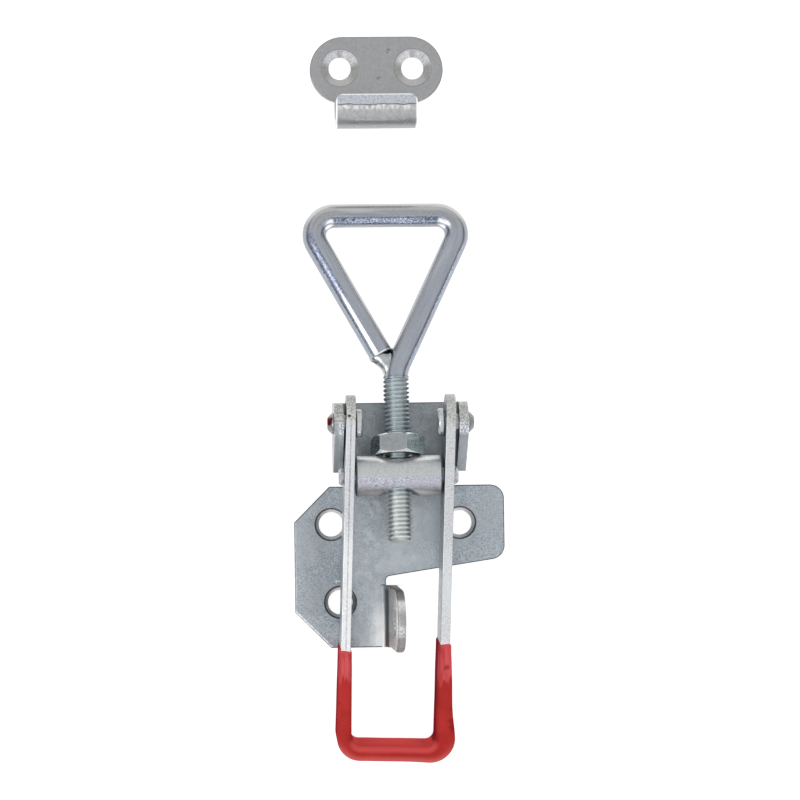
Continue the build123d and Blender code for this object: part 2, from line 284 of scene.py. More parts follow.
@contextmanager
def shaping(mesh):
    """Opens a mesh for editing, and writes it back at the end."""
    made = bmesh.new()
    made.from_mesh(mesh)
    yield made
    made.to_mesh(mesh)
    made.free()


def applied_mesh(piece):
    """A plain mesh of the piece as its modifiers leave it."""
    bpy.context.view_layer.update()
    graph = bpy.context.evaluated_depsgraph_get()
    return bpy.data.meshes.new_from_object(piece.evaluated_get(graph))


def clean_copy(node):
    """A copy of a solid with its doubles merged and its flat faces whole."""
    mesh = frame["nodes"][node].data.copy()
    flat = math.radians(0.6)
    with shaping(mesh) as made:
        bmesh.ops.remove_doubles(made, verts=made.verts, dist=0.002 * MM)
        bmesh.ops.dissolve_limit(made, angle_limit=flat, verts=made.verts, edges=made.edges)
    mesh.materials.clear()
    return new_object(node + "_finished", mesh)


def soften(piece, width, segments=2, angle=30, edge_slot=-1):
    """Rounds every sharp edge by so many millimetres; a slot gives the new faces a finish."""
    sharp = math.radians(angle)
    bevel = piece.modifiers.new("soft edges", "BEVEL")
    bevel.width = width * MM
    bevel.segments = segments
    bevel.limit_method = "ANGLE"
    bevel.angle_limit = sharp
    bevel.harden_normals = True
    if edge_slot >= 0:
        for _ in range(edge_slot + 1):
            piece.data.materials.append(None)
        bevel.material = edge_slot
    piece.data.shade_smooth()
    piece.data.set_sharp_from_angle(angle=sharp)
    mesh = applied_mesh(piece)
    piece.modifiers.clear()
    piece.data = mesh
    return piece


def round_edges(piece, offset, chosen, slot=-1, sharp=0.6):
    """Rounds the sharp edges that a test picks out, more than soften does."""
    with shaping(piece.data) as made:
        edges = [
            edge for edge in made.edges
            if edge.is_manifold and edge.calc_face_angle() > sharp
            and all(chosen(vertex.co / MM) for vertex in edge.verts)
        ]
        bmesh.ops.bevel(
            made, geom=edges, offset=offset * MM, segments=4, profile=0.5, affect="EDGES",
            clamp_overlap=slot < 0, material=slot,
        )
        print(piece.name, "rounded", len(edges), "edges")


def settle(piece, body, materials, slot, *nodes):
    """Gives a finished piece its finishes, its body and the solids that it stands for."""
    owners = [face.material_index for face in piece.data.polygons]
    piece.data.materials.clear()
    for material in materials:
        piece.data.materials.append(material)
    if len(materials) > 1:
        piece.data.polygons.foreach_set("material_index", owners)
    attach(piece, body)
    if nodes:
        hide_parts(*nodes)
    print(piece.name, len(piece.data.polygons), "faces")


# %% [markdown]
# The base plate is stamped from sheet. Its zinc is dull and blue-grey, and darker at the left.
# Painted shade darkens the neck, painted light makes it paler between the arms, and a painted
# highlight lies where it curves up into the padlock tab. Each of these is one coat, and its share
# says where it lies.

# %% Base plate: the sheet
mat = Finish(
    "zinc_plate_blue", (0.2, 0.23, 0.255), (0.53, 0.575, 0.61), (0.4, 0.43, 0.46), 0.36, 0.17
)
x_mm, y_mm, z_mm = (mat.axis(way) for way in (RIGHT, FAR, UP))
hue_patches = mat.mottle(0.75, 0.4, 0.6, detail=2)
mat.coat(mat.mix(hue_patches, (0.38, 0.385, 0.5), (0.36, 0.44, 0.44)), 0.3)
# Painted shade: the neck between the ears is darker.
neck_shade = y_mm.ramp(-14, -10.5) * z_mm.ramp(4.5, 2.5)
mat.coat((0.2, 0.215, 0.22), neck_shade * 0.62)
mat.coat((0.2, 0.21, 0.225), x_mm.ramp(-12.5, -18, 0, 0.24))
# Painted light: the plate is paler between the arms, where they shade it.
light_between_arms = y_mm.ramp(-13, -17) * x_mm.ramp(12.5, 8) * x_mm.ramp(-12.5, -9)
mat.coat((0.62, 0.68, 0.71), light_between_arms * 0.35)
# Painted highlight where the plate curves up into the tab, ragged and stronger further down.
ragged_x = x_mm.wander(mat.noise(0.7, 3), 2.4)
bend_highlight = ragged_x.ramp(-8, -4.6) * x_mm.ramp(-2.9, -3.4) * y_mm.ramp(-38, -47, 0.06, 0.74)
mat.coat((0.92, 0.93, 0.93), bend_highlight * y_mm.ramp(-36, -38.5))
print("sheet nodes", len(mat.tree.nodes))

# %% [markdown]
# The padlock tab is handled most, and grit has scratched it. Painted reflections lie across it in
# stripes, its left face has a painted sheen, a painted dark band follows its rounded edges and
# its bend, and painted shade runs along its foot, where it was bent up. The zinc on the ears is
# flaky, so a blotchy noise mixes two greys there; a painted reflection covers their sloping backs
# and a painted highlight their heads.

# %% Base plate: the tab
tab = x_mm.ramp(-3.4, -2.8) * z_mm.ramp(2.2, 4) * y_mm.ramp(-34, -36)
left_face = mat.tilt(LEFT)
grit = mat.mottle(0.28, 0.42, 0.62)
scuffed = y_mm.band(-48, -44.4, 0.9) * grit
chafed = y_mm.band(-47, -42, 1.5) * grit * left_face.ramp(0.6, 0.9) * z_mm.ramp(12, 17)
wear_and_painted_light = mat.layers(
    (0.3, 0.29, 0.295),
    # Painted reflections: light and dark stripes across the tab.
    (y_mm.ramp(-38.9, -39.9), (0.8, 0.8, 0.78)),
    (y_mm.ramp(-40.4, -42.6), (0.44, 0.44, 0.43)),
    (y_mm.ramp(-46.8, -48.2), (0.3, 0.295, 0.305)),
    # Painted sheen on the left face.
    (left_face.ramp(0.6, 0.9, 0, 0.8), (0.82, 0.82, 0.8)),
    (mat.mottle(0.6, 0.3, 0.7, 0.35, 0), (0.12, 0.12, 0.12)),
    ((scuffed | chafed) * 0.75, (0.97, 0.97, 0.99)),
    # Painted shade: a dark band where the faces turn, at the rounded edges and the bend.
    (left_face.band(0.3, 0.8, 0.2) * 0.6, (0.2, 0.2, 0.2)),
)
mat.coat(wear_and_painted_light, tab * 0.92)
# Painted shade along the bend at the tab's foot.
bend_shade = x_mm.band(-3.5, -2.1, 0.3) * y_mm.ramp(-37.5, -38.5) * z_mm.ramp(5, 3.5)
mat.coat((0.18, 0.185, 0.175), bend_shade * 0.8)
print("with the tab", len(mat.tree.nodes))

# %% Base plate: the ears
ears = y_mm.ramp(-13, -11) * z_mm.ramp(5, 8)
# Painted reflection: teal and mauve tones on the sloping backs of the ears, darker on the right
# ear.
slope_reflection = mat.layers(
    (0.38, 0.37, 0.4),
    (x_mm.ramp(-14.1, -13.9), (0.46, 0.53, 0.53)),
    (x_mm.ramp(-1, 1), (0.27, 0.285, 0.3)),
)
flakes = mat.mottle(0.38, 0.38, 0.62)
patchy = flakes.math("MULTIPLY_ADD", 0.35, 0.4)
mat.coat(slope_reflection, ears * y_mm.ramp(-1.6, -3.2) * patchy)
dull = mat.mix(flakes, (0.27, 0.27, 0.25), (0.64, 0.64, 0.6))
mat.coat(dull, ears * y_mm.ramp(-0.4, 1, 0, 0.75))
# Painted highlight: a bright flaky band across the heads of the ears.
bright = mat.mix(flakes, (0.3, 0.3, 0.34), (0.9, 0.9, 0.94))
inner_half = x_mm.ramp(-14.4, -13.8, 0, 0.75)
mat.coat(bright, ears * inner_half * y_mm.band(-2.9, 0.6, 0.7))
print("with the ears", len(mat.tree.nodes))

# %% [markdown]
# Small marks come last: the cones of the screw holes are painted light on one side, the wall of
# the third hole is painted in shade under the arm, and a painted highlight, broken up, runs along
# the lower left outline. Handling has left two dots, a painted shine sits by the notch, and the
# tab's corner has a speck of rust.

# %% Base plate: holes and marks
third_wall = Vector((-10.75, -40.8, 0.9)) * MM
handling_mark = Vector((-14.3, -36, 2.05)) * MM
notch_shine = Vector((-2.6, -35.8, 2)) * MM
tab_rust = Vector((-2.2, -37.1, 9)) * MM
low_left = (-0.7071, -0.7071, 0)

cone = mat.facing(UP, 0.5, 0.6) * mat.facing(DOWN, -0.88, -0.8) * z_mm.ramp(2.12, 2.04)
cone_lit = mat.facing((-0.5, -0.85, 0), -0.3, 0.5)
mat.coat(mat.mix(cone_lit, (0.5, 0.51, 0.52), (0.95, 0.96, 0.97)), cone * 0.9)
# Painted shade on the wall of the third hole, under the arm.
shade_under_arm = mat.spot(third_wall, 2.6, 0.3) * left_face.ramp(0.2, 0.5)
mat.coat((0.07, 0.075, 0.08), shade_under_arm * 0.85)
# Painted highlight along the lower left outline, broken up by a noise.
outline = mat.axis(low_left).ramp(46.7, 47.1) | x_mm.ramp(-23.4, -23.7, 0, 0.5)
outline_highlight_breaks = mat.mottle(0.5, 0.35, 0.55, 0.3, 0.9)
mat.coat((0.95, 0.96, 0.97), outline * z_mm.ramp(1.6, 1.9) * outline_highlight_breaks)
for shift in (-0.1, 0.55):
    mat.coat((0.92, 0.94, 0.97), mat.spot(handling_mark + X_AXIS * shift * MM, 0.34, 0.6))
# Painted shine by the notch.
mat.coat((0.9, 0.88, 1), mat.spot(notch_shine, 0.7, 0.6, 0.7))
mat.coat((0.42, 0.17, 0.06), mat.spot(tab_rust, 1.6, 0.7, 0.8))
roughness = tab.math("MULTIPLY_ADD", 0.14, mat.uneven(1.6, 0.34, 0.48))
plate_zinc = mat.finish(roughness, 0.012)

# %% [markdown]
# The rim is painted dark as shade, with painted highlights where it faces the lower left and high
# up. It is rounded a little, and the tab's corners more. The rounded faces of the rim have a
# finish of their own.

# %% Base plate: rim and shape
# Painted shade: the rim is dark.
mat = Finish("zinc_plate_edge", (0.05, 0.055, 0.06), (0.15, 0.16, 0.165), (0.09, 0.095, 0.1), 0.5)
bright, _ = mat.zinc((0.55, 0.57, 0.58), BRIGHT_ZINC, (0.8, 0.82, 0.83), 0.5)
# Painted highlight high up and where the rim faces the lower left.
high_up = mat.axis(UP).ramp(3, 5) * 0.75
mat.coat(bright, mat.facing((-0.7, -0.7, 0.1), 0.55, 0.75) | high_up)
plate_edge = mat.finish(mat.uneven(0.8, 0.3, 0.45), 0.015)

eye = Vector((0, -44.15, 20.3))


def on_tab(point):
    """Whether a point is on the upturned tab and clear of its padlock hole."""
    return point.z > 3.3 and -3.5 < point.x < 1.5 and (point - eye).yz.length > 5


def on_rim(point):
    """Whether a point is on the plate's upper outline, away from the tab and the ears."""
    by_tab = point.x > -4 and point.y < -38
    by_ears = abs(point.x) > 10 and -13.5 < point.y < 0
    return 1.9 < point.z < 2.1 and not by_tab and not by_ears


base_plate = clean_copy("base_plate")
round_edges(base_plate, 0.7, on_tab, slot=0)
round_edges(base_plate, 0.22, on_rim, slot=1)
base_plate = soften(base_plate, 0.22, edge_slot=1)
settle(base_plate, "base", [plate_zinc, plate_edge], "zinc_plate", "base_plate")

# %% [markdown]
# The handle is one strip bent on edge into a U. Its sheared edges look up, and they are brighter
# and coarser than rolled sheet: white specks, grey dots and, on the left arm, the fine dark seam
# that a shear leaves.

# %% Handle
arm_middle = 11.17
head_pit = on_handle(-11.6, -2, 5.4)

mat = Finish(
    "zinc_cut_edge", (0.5, 0.51, 0.53), (0.88, 0.89, 0.9), (0.74, 0.77, 0.8), 0.33, 0.24, 7
)
side_mm = mat.axis(across, handle_origin)
along_arm = mat.axis(arm_dir, handle_origin)
seam = side_mm.off(-arm_middle).ramp(0.08, 0.22, 1, 0)
mat.coat((0.26, 0.25, 0.3), seam * mat.mottle(0.6, 0.35, 0.6, 0.4, 0.85, detail=2))
mat.coat((0.34, 0.35, 0.37), along_arm.ramp(32, 24, 0, 0.2))
dull = mat.mix(mat.mottle(0.42, 0.4, 0.6), (0.34, 0.34, 0.32), (0.62, 0.62, 0.585))
mat.coat(dull, along_arm.ramp(-1.6, 0.4, 0.8, 0))
mat.coat((0.05, 0.05, 0.055), mat.spot(head_pit, 0.45, 0.5, 0.2))
mat.coat((0.3, 0.32, 0.34), side_mm.ramp(5, 10, 0, 0.12))
# Painted highlight: the left arm whiter further down.
left_arm_highlight = along_arm.ramp(20, 28, 0, 0.3)
mat.coat(WHITE, side_mm.ramp(-5, -10) * left_arm_highlight)
flat_face, _ = mat.zinc((0.25, 0.275, 0.29), (0.42, 0.45, 0.465), (0.34, 0.37, 0.38))
up_face = mat.tilt(across).off().ramp(0.8, 0.53)
mat.colour = mat.mix(up_face, flat_face, mat.colour)
strip_zinc = mat.finish(mat.uneven(0.9, 0.3, 0.48), 0.02)

handle = soften(clean_copy("handle"), 0.3, 3)
settle(handle, "handle", [strip_zinc], "zinc_handle", "handle")

# %% [markdown]
# The grip is vinyl, made by dipping the warm handle into a bath. It runs round every corner,
# gathers at the closed end, and starts in an uneven line. A loft suits it: one rounded section,
# carried along the U, with its thickness given by a rule and the start pushed about a little.

# %% Grip: its path and its section
strip = 2.15
strip_width = 11
handle_length = 75.8
bend_middle_r = 3.575
left_start, right_start = 50.9, 49.3
corner_along = handle_length - strip / 2 - bend_middle_r
corner_side = arm_middle - bend_middle_r


def straight(first, last, out, step=1.2):
    """Places between two ends of a straight run, which all have the same way out."""
    count = int(math.dist(first, last) / step)
    return [(*Vector(first).lerp(Vector(last), i / count), out) for i in range(1, count)]


def corner(side, steps=10):
    """Places round one corner, from its arm to the closed end."""
    places = []
    for i in range(steps + 1):
        a = math.pi / 2 * (i / steps)
        out = (side * math.cos(a), math.sin(a))
        side_by = side * corner_side + out[0] * bend_middle_r
        places.append((side_by, corner_along + out[1] * bend_middle_r, out))
    return places


def rounded_section(inward, outward, half_height, corner_r, arc=5):
    """Points round a rectangle with round corners, as (outwards, up)."""
    points = []
    for cx, cz, start in (
        (outward - corner_r, half_height - corner_r, 0),
        (corner_r - inward, half_height - corner_r, 90),
        (corner_r - inward, corner_r - half_height, 180),
        (outward - corner_r, corner_r - half_height, 270),
    ):
        for i in range(arc + 1):
            a = math.radians(start + 90 * i / arc)
            points.append((cx + corner_r * math.cos(a), cz + corner_r * math.sin(a)))
    return points


def part_way(value, start, length):
    """How far a value has come past a start, as a share of a length, from 0 to 1."""
    return min(1, max(0, (value - start) / length))


def vinyl_thickness(side, along, lean):
    """How thick the vinyl is outside, inside and on the edges, in millimetres."""
    share = part_way(along, 50, 24) ** 1.2
    bulge = math.exp(-(((along - 71.5) / 5.5) ** 2)) * max(0, side / arm_middle) ** 3
    run = 0.28 * part_way(along, 50, 8) * max(0, lean)
    outer = 0.3 + (0.38 + 0.2 * lean) * share + run + 0.72 * bulge
    return outer, 0.3 + (0.28 - 0.2 * lean) * share, 0.3 + 0.32 * share


def skin(made, rings):
    """Joins each ring of points to the next, closes both ends, and gives the side faces."""
    count = len(rings[0])
    sides = []
    for first, second in zip(rings, rings[1:]):
        for i in range(count):
            j = (i + 1) % count
            sides.append(made.faces.new((first[i], first[j], second[j], second[i])))
    made.faces.new(rings[0])
    made.faces.new(rings[-1])
    return sides


# %% Grip: its mesh
end = corner_along + bend_middle_r
left, right = (-1, 0), (1, 0)
places = [
    (-arm_middle, left_start, left),
    *straight((-arm_middle, left_start), (-arm_middle, corner_along), left),
    *corner(-1),
    *straight((-corner_side, end), (corner_side, end), (0, 1)),
    *reversed(corner(1)),
    *straight((arm_middle, corner_along), (arm_middle, right_start), right),
    (arm_middle, right_start, right),
]
grip_mesh = bpy.data.meshes.new("grip_finished")
with shaping(grip_mesh) as made:
    rings = []
    for index, (side, along, out) in enumerate(places):
        outer, inner, edge = vinyl_thickness(side, along, out[0])
        from_end = min(index, len(places) - 1 - index)
        thin, corner_r = (1, 0.8 + 0.78 * part_way(along, 56, 14)) if from_end else (0.1, 0.45)
        ring = []
        sizes = strip / 2 + inner * thin, strip / 2 + outer * thin, strip_width / 2 + edge * thin
        for out_by, up_by in rounded_section(*sizes, corner_r):
            pull = 0
            if from_end < 2:
                ragged = noise.noise(Vector((side * 0.3, up_by * 0.45, out_by * 0.8))) * 0.9
                pull = ragged * 0.7 - (up_by - 5.5) * 0.05 - 0.75 * from_end
            wave = 0.06 * noise.noise(Vector((side * 0.16, along * 0.16, up_by * 0.3)))
            proud = out_by + wave
            point = on_handle(side + out[0] * proud, along + out[1] * proud + pull, up_by)
            point.z = max(point.z, 0)
            ring.append(made.verts.new(point))
        rings.append(ring)
    skin(made, rings)
    bmesh.ops.recalc_face_normals(made, faces=made.faces)
grip_mesh.shade_smooth()
grip = new_object("grip_finished", grip_mesh)
print("grip", len(rings), "rings")

# %% [markdown]
# The vinyl's gloss would wash out its red, so its highlight is off. The thin start, where steel
# shows through, is paler. The light is painted in: painted highlights on the outer rim, on the
# inner wall, along the line where it rounds over and in a streak at the left corner, and painted
# shade low on the side walls and underneath. Four dark spots with ragged edges sit on the vinyl.

# %% Grip: its finish
mat = Finish("red_vinyl_dipped")
along_arm = mat.axis(arm_dir, handle_origin)
up_mm = mat.axis(handle_up, handle_origin)
out_way, side_way = mat.tilt(arm_dir), mat.tilt(across)
runs = mat.noise(1, stretch=(1.1, 0.1, 0.6))
thin_start = along_arm.wander(runs, 9).ramp(57.2, 58.8, 0.85, 0)
streaky = mat.mix(runs.ramp(0.35, 0.65), (0.5, 0.055, 0.06), (0.7, 0.115, 0.125))
lit_inner_wall = out_way.ramp(-0.2, -0.8)
mat.colour = mat.layers(
    (0.4, 0.026, 0.024),
    (mat.mottle(6, 0.35, 0.65), (0.47, 0.034, 0.031)),
    (thin_start, streaky),
)
# Painted highlight on the outer rim.
outer_edge_highlight = out_way.ramp(-0.1, 0.6) * mat.facing(handle_up, -0.2, 0.2)
mat.coat((0.55, 0.12, 0.108), outer_edge_highlight * 0.7)
# Painted light on the inner wall, and a painted highlight where it rounds over to the top.
mat.coat((0.68, 0.08, 0.076), lit_inner_wall)
mat.coat((0.63, 0.068, 0.064), lit_inner_wall * up_mm.band(1.6, 5.6, 1.6))
mat.coat((0.72, 0.12, 0.11), out_way.band(-0.85, -0.1, 0.3) * 0.3)
# Painted shade low on the side walls, and darker still along the underside.
side_wall = side_way.off().ramp(0.6, 0.85)
mat.coat((0.17, 0.012, 0.022), side_wall * up_mm.ramp(0.5, 4, 0.8, 0.1))
mat.coat((0.14, 0.004, 0.014), up_mm.ramp(-5.4, -4.2, 0.85, 0))
# Painted highlight: a streak at the left corner.
mat.coat((0.72, 0.2, 0.18), mat.spot(on_handle(-12.4, 73.6, 6.2), 1.1, 0.7, 0.6))
for *centre, size in (
    (13.3, 67.6, 4.8, 2.4), (11.6, 54.5, 6, 0.9), (-12.2, 63, 5.2, 0.7), (12.9, 64, 5.3, 0.7)
):
    dark_spot = mat.spot(on_handle(*centre), size, 0.7, size * 1.4)
    mat.coat((0.2, 0.01, 0.012), dark_spot * 0.6)
vinyl = mat.finish(
    mat.mottle(1.4, 0.3, 0.75, 0.24, 0.36, detail=4), 0.02, mat.noise(2.4, detail=3),
    metallic=0, specular=0,
)
settle(grip, "handle", [vinyl], "red_vinyl", "grip")

# %% [markdown]
# Two headed rivets carry the handle. Their inner heads are flat discs, and their outer ends are
# low domes, which are darker. The left one has a smear of red from the dipping bath. They are
# turned, so a stretched noise draws faint rings on them.

# %% Pivot rivets
red_smear = pivot + Vector((-16.4, 0.7, 1.8)) * MM

mat = Finish(
    "zinc_turned", (0.33, 0.34, 0.35), (0.56, 0.57, 0.57), (0.44, 0.45, 0.49), 0.4, 0.24, 5
)
lathe_marks = mat.noise(0.22, stretch=(1, 0.06, 0.06))
mat.coat((0.6, 0.61, 0.62), lathe_marks.ramp(0.3, 0.75, 0, 0.25))
from_middle = mat.axis(RIGHT).off()
mat.coat((0.2, 0.195, 0.19), from_middle.ramp(15.1, 15.5, 0, 0.8))
mat.coat((0.68, 0.71, 0.71), from_middle.ramp(11.5, 11, 0, 0.35))
mat.coat((0.085, 0.008, 0.01), mat.spot(red_smear, 1.3, 0.35, 0.8))
turned_zinc = mat.finish(mat.uneven(0.8, 0.24, 0.38), 0.014)

for name in ("pivot_rivet_left", "pivot_rivet_right"):
    settle(soften(clean_copy(name), 0.3, 4), "base", [turned_zinc], "zinc_small", name)

# %% [markdown]
# The trunnion is a plain bar, so what it mirrors changes round its section. These reflections are
# painted in: a bright line on the far side, grey on top, lilac speckle below that, then mauve, and
# a pale line at the bottom.

# %% Trunnion
mat = Finish(
    "zinc_turned_lilac", (0.4, 0.415, 0.42), (0.56, 0.575, 0.58), (0.5, 0.51, 0.515), 0.5, 0.3, 6
)
near_side = mat.tilt(NEAR)
lilac, _ = mat.zinc((0.27, 0.27, 0.345), (0.68, 0.69, 0.79), (0.43, 0.435, 0.51), 0.36, 0.15, 3)
mauve, _ = mat.zinc((0.235, 0.24, 0.265), (0.39, 0.405, 0.44), (0.32, 0.33, 0.365), 0.36, 0.2, 3)
# Painted reflections, in bands round the section.
mat.coat(lilac, near_side.ramp(-0.12, 0.12, 0, 0.85))
mat.coat(mauve, near_side.ramp(0.34, 0.56, 0, 0.9))
mat.coat((0.55, 0.57, 0.56), near_side.ramp(0.72, 0.86, 0, 0.8))
mat.coat(BRIGHT_ZINC, mat.facing(FAR, 0.7, 0.88))
lathe_marks = mat.noise(0.3, detail=3, stretch=(1, 0.05, 0.05))
mat.coat((0.62, 0.63, 0.64), lathe_marks.ramp(0.35, 0.75, 0, 0.2))
bar_zinc = mat.finish(mat.uneven(0.9, 0.36, 0.48), 0.014)

settle(soften(clean_copy("trunnion"), 0.12), "trunnion", [bar_zinc], "zinc_small", "trunnion")

# %% [markdown]
# The pull rod is drawn wire, bent into a loop and welded back to its own shank. A tube swept
# along the bend line gives it an even section. Drawing leaves long streaks, so the tube carries
# its own UV map, once round and along in tenths of a metre, for the streaks to follow.

# %% Bend line of the pull rod
rod_r = 2.72
thread_start = 22.6
thread_tail = 14.95
loop_reach = 60.4
shank_bend = 24.2
shank_bend_r, loop_bend_r = 9, 4.5
wire_overlap = 0.6
right_angle = math.radians(25.5)
left_angle = math.radians(28.6)
leg_end = Vector((-3.34, shank_bend + 3.9))
right_corner = Vector(((loop_reach - shank_bend) * math.tan(right_angle), loop_reach))
left_corner = Vector((leg_end.x - (loop_reach - leg_end.y) * math.tan(left_angle), loop_reach))
bar_middle = (left_corner.x + right_corner.x) / 2


def bend_line(corners, radii, step=0.8, arc_step=math.radians(6)):
    """Points along straight runs joined by arcs of the given radii, in the rod's plane."""
    points = [corners[0]]

    def run_to(end):
        count = int((end - points[-1]).length / step)
        return [points[-1].lerp(end, i / count) for i in range(1, count)]

    for before, corner, after, radius in zip(corners, corners[1:], corners[2:], radii):
        came = (corner - before).normalized()
        goes = (after - corner).normalized()
        turn = came.angle(goes)
        start = corner - came * radius * math.tan(turn / 2)
        side = 1 if came.x * goes.y - came.y * goes.x > 0 else -1
        middle = start + Vector((-came.y, came.x)) * radius * side
        points += run_to(start)
        steps = max(2, int(turn / arc_step))
        for i in range(steps + 1):
            swing = Matrix.Rotation(side * turn * i / steps, 2)
            points.append(middle + swing @ (start - middle))
    return [*points, *run_to(corners[-1]), corners[-1]]


line = bend_line(
    [
        Vector((0, thread_start - wire_overlap)), Vector((0, shank_bend)), right_corner,
        left_corner, leg_end,
    ],
    [shank_bend_r, loop_bend_r, loop_bend_r],
)
print("rod line", len(line), "points")

# %% Sweep the wire
WIRE_SIDES = 40
DENT = 0.018
UV_LENGTH = 100
cut_rim = 0.3
angles = [2 * math.pi * i / WIRE_SIDES for i in range(WIRE_SIDES)]


def wire_ring(made, middle, ahead, radii):
    """A ring of points round the bend line, each at its own radius."""
    beside = Vector((ahead.y, -ahead.x))
    ring = []
    for a, radius in zip(angles, radii):
        place = middle + beside * radius * math.cos(a)
        ring.append(made.verts.new(on_rod(place.x, place.y, radius * math.sin(a))))
    return ring


wire_mesh = bpy.data.meshes.new("pull_rod_wire")
with shaping(wire_mesh) as made:
    uv = made.loops.layers.uv.new("along")
    rings, lengths = [], []
    travelled = 0
    for index, point in enumerate(line):
        before = line[max(index - 1, 0)]
        ahead = (line[min(index + 1, len(line) - 1)] - before).normalized()
        travelled += (point - before).length
        radii = [
            rod_r + DENT * noise.noise(Vector((math.cos(a), math.sin(a), travelled * 0.12)))
            for a in angles
        ]
        rings.append(wire_ring(made, point, ahead, radii))
        lengths.append(travelled)
    ahead = (line[-1] - line[-2]).normalized()
    for inset, out in ((cut_rim * 0.35, cut_rim * 0.7), (cut_rim, cut_rim)):
        radii = [rod_r - inset] * WIRE_SIDES
        rings.append(wire_ring(made, line[-1] + ahead * out, ahead, radii))
        lengths.append(travelled + out)
    for index, face in enumerate(skin(made, rings)):
        k, i = divmod(index, WIRE_SIDES)
        for loop, u, v in zip(face.loops, (i, i + 1, i + 1, i), (k, k, k + 1, k + 1)):
            loop[uv].uv = (u / WIRE_SIDES, lengths[v] / UV_LENGTH)
    bmesh.ops.recalc_face_normals(made, faces=made.faces)
    for face in made.faces:
        face.smooth = len(face.verts) == 4
wire = new_object("pull_rod_wire", wire_mesh)
cut_face = lengths[-3]
print("wire", round(travelled, 1), "mm long")

# %% [markdown]
# The weld is a bead that ran from the cut end of the leg down to the shank. Metaballs melt into
# each other the way a weld does, so a short row of them, turned into a mesh, makes the bead. It is
# melted at a thousand times its size, because metaballs have a coarsest grid of their own.

# %% Weld bead
BEAD_GRID = 0.16
RIPPLE = 0.08
bead_data = bpy.data.metaballs.new("weld_bead")
bead_data.resolution = BEAD_GRID
bead_data.render_resolution = BEAD_GRID
bead_data.threshold = 0.55
bead = new_object("weld_bead", bead_data)
for *centre, size in (
    (-4.95, 27.2, 0, 1.7), (-4.35, 27.35, 0.3, 2.2), (-3.6, 27.2, 0.5, 2.5),
    (-3.6, 27.2, -0.6, 2.4), (-2.9, 26.6, 0.5, 2.5), (-2.9, 26.6, -0.6, 2.4),
    (-2.2, 25.8, 0.5, 2.4), (-2.2, 25.8, -0.6, 2.4), (-1.75, 24.9, 0.4, 2.2),
    (-1.5, 24, 0.3, 2.1), (-1.35, 23.2, 0.2, 2.1), (-1.3, 22.6, 0.1, 1.9),
    (-1.5, 27, 0.3, 2), (-0.9, 26.2, 0.5, 2), (-1.2, 27.9, -1.3, 2.2),
    (-0.6, 28.6, -1.6, 2),
):
    ball = bead_data.elements.new()
    ball.co = on_rod(*centre) / MM
    ball.radius = size
bead_mesh = applied_mesh(bead)
bpy.data.objects.remove(bead)
bead_mesh.transform(Matrix.Scale(MM, 4))
for vertex in bead_mesh.vertices:
    ripple = noise.noise(vertex.co / MM * 0.7) * RIPPLE
    vertex.co += vertex.normal * ripple * MM
bead_mesh.shade_smooth()
weld = new_object("weld_bead_finished", bead_mesh)
print("weld", len(bead_mesh.polygons), "faces")

# %% [markdown]
# The thread repeats by a rule: every millimetre up the rod the same ridge comes round again. A
# Geometry Nodes tree bends a flat grid into it. Each row of the grid climbs one pitch as it goes
# round, and the row's place in the pitch says how deep it lies, so the crests stay crisp.

# %% Thread by Geometry Nodes


def thread_tree(sides=48, rows=6, root_half=0.12, flank=0.3):
    """A tree that rolls a grid up into a screw thread along Z, from z = 0 to its length."""
    tree = bpy.data.node_groups.new("rolled_thread", "GeometryNodeTree")
    face = tree.interface
    face.new_socket("Geometry", in_out="OUTPUT", socket_type="NodeSocketGeometry")
    sizes = {"Crest radius": 2.97, "Root radius": 2.4, "Pitch": 1, "Length": 37.5, "Chamfer": 0.8}
    for label, value in sizes.items():
        socket = face.new_socket(label, in_out="INPUT", socket_type="NodeSocketFloat")
        socket.default_value = value
    face.new_socket("Finish", in_out="INPUT", socket_type="NodeSocketMaterial")
    given = tree.nodes.new("NodeGroupInput").outputs
    nodes = Nodes(tree)
    crest, root, pitch, length, chamfer = (Value(nodes, given[label]) for label in sizes)

    turns = (length.math("DIVIDE", pitch) + 2).math("CEIL")
    grid = nodes.add("GeometryNodeMeshGrid", {
        "Size X": 1, "Size Y": turns, "Vertices X": sides + 1, "Vertices Y": turns * rows + 1,
    })
    place = {0: nodes.add("GeometryNodeInputPosition")}
    place_x, place_y = (nodes.add("ShaderNodeSeparateXYZ", place, way) for way in "XY")
    round_share = place_x + 0.5
    turn = place_y + turns * 0.5 - 1
    height = ((turn + round_share) * pitch).math("MINIMUM", length) | 0

    from_root = (turn + 10).math("FRACT").off(0.5)
    ridge = (from_root - root_half).math("DIVIDE", flank, clamp=True)
    radius = (root + ridge * (crest - root)).math("MINIMUM", height + (crest - chamfer))
    radius = radius * height.math("GREATER_THAN", 0.0001)

    angle = round_share * (2 * math.pi)
    rolled = nodes.add("ShaderNodeCombineXYZ", {
        "X": radius * angle.math("COSINE"), "Y": radius * angle.math("SINE"), "Z": height,
    })
    bent = nodes.add("GeometryNodeSetPosition", {"Geometry": grid, "Position": rolled})
    closed = nodes.add("GeometryNodeMergeByDistance", {"Geometry": bent, "Distance": 0.004})
    whole = nodes.add("GeometryNodeRealizeInstances", {0: closed})
    sockets = {"Geometry": whole, "Material": given["Finish"]}
    nodes.add("NodeGroupOutput", {0: nodes.add("GeometryNodeSetMaterial", sockets)})
    return tree


# %% Finish of the thread
mat = Finish("zinc_thread", (0.56, 0.62, 0.64), (0.78, 0.84, 0.85), (0.6, 0.7, 0.74), 0.8, 0.3, 8)
squares = [mat.axis(way, rod_origin).math("POWER", 2) for way in (X_AXIS, rod_up)]
from_axis = (squares[0] + squares[1]).math("SQRT")
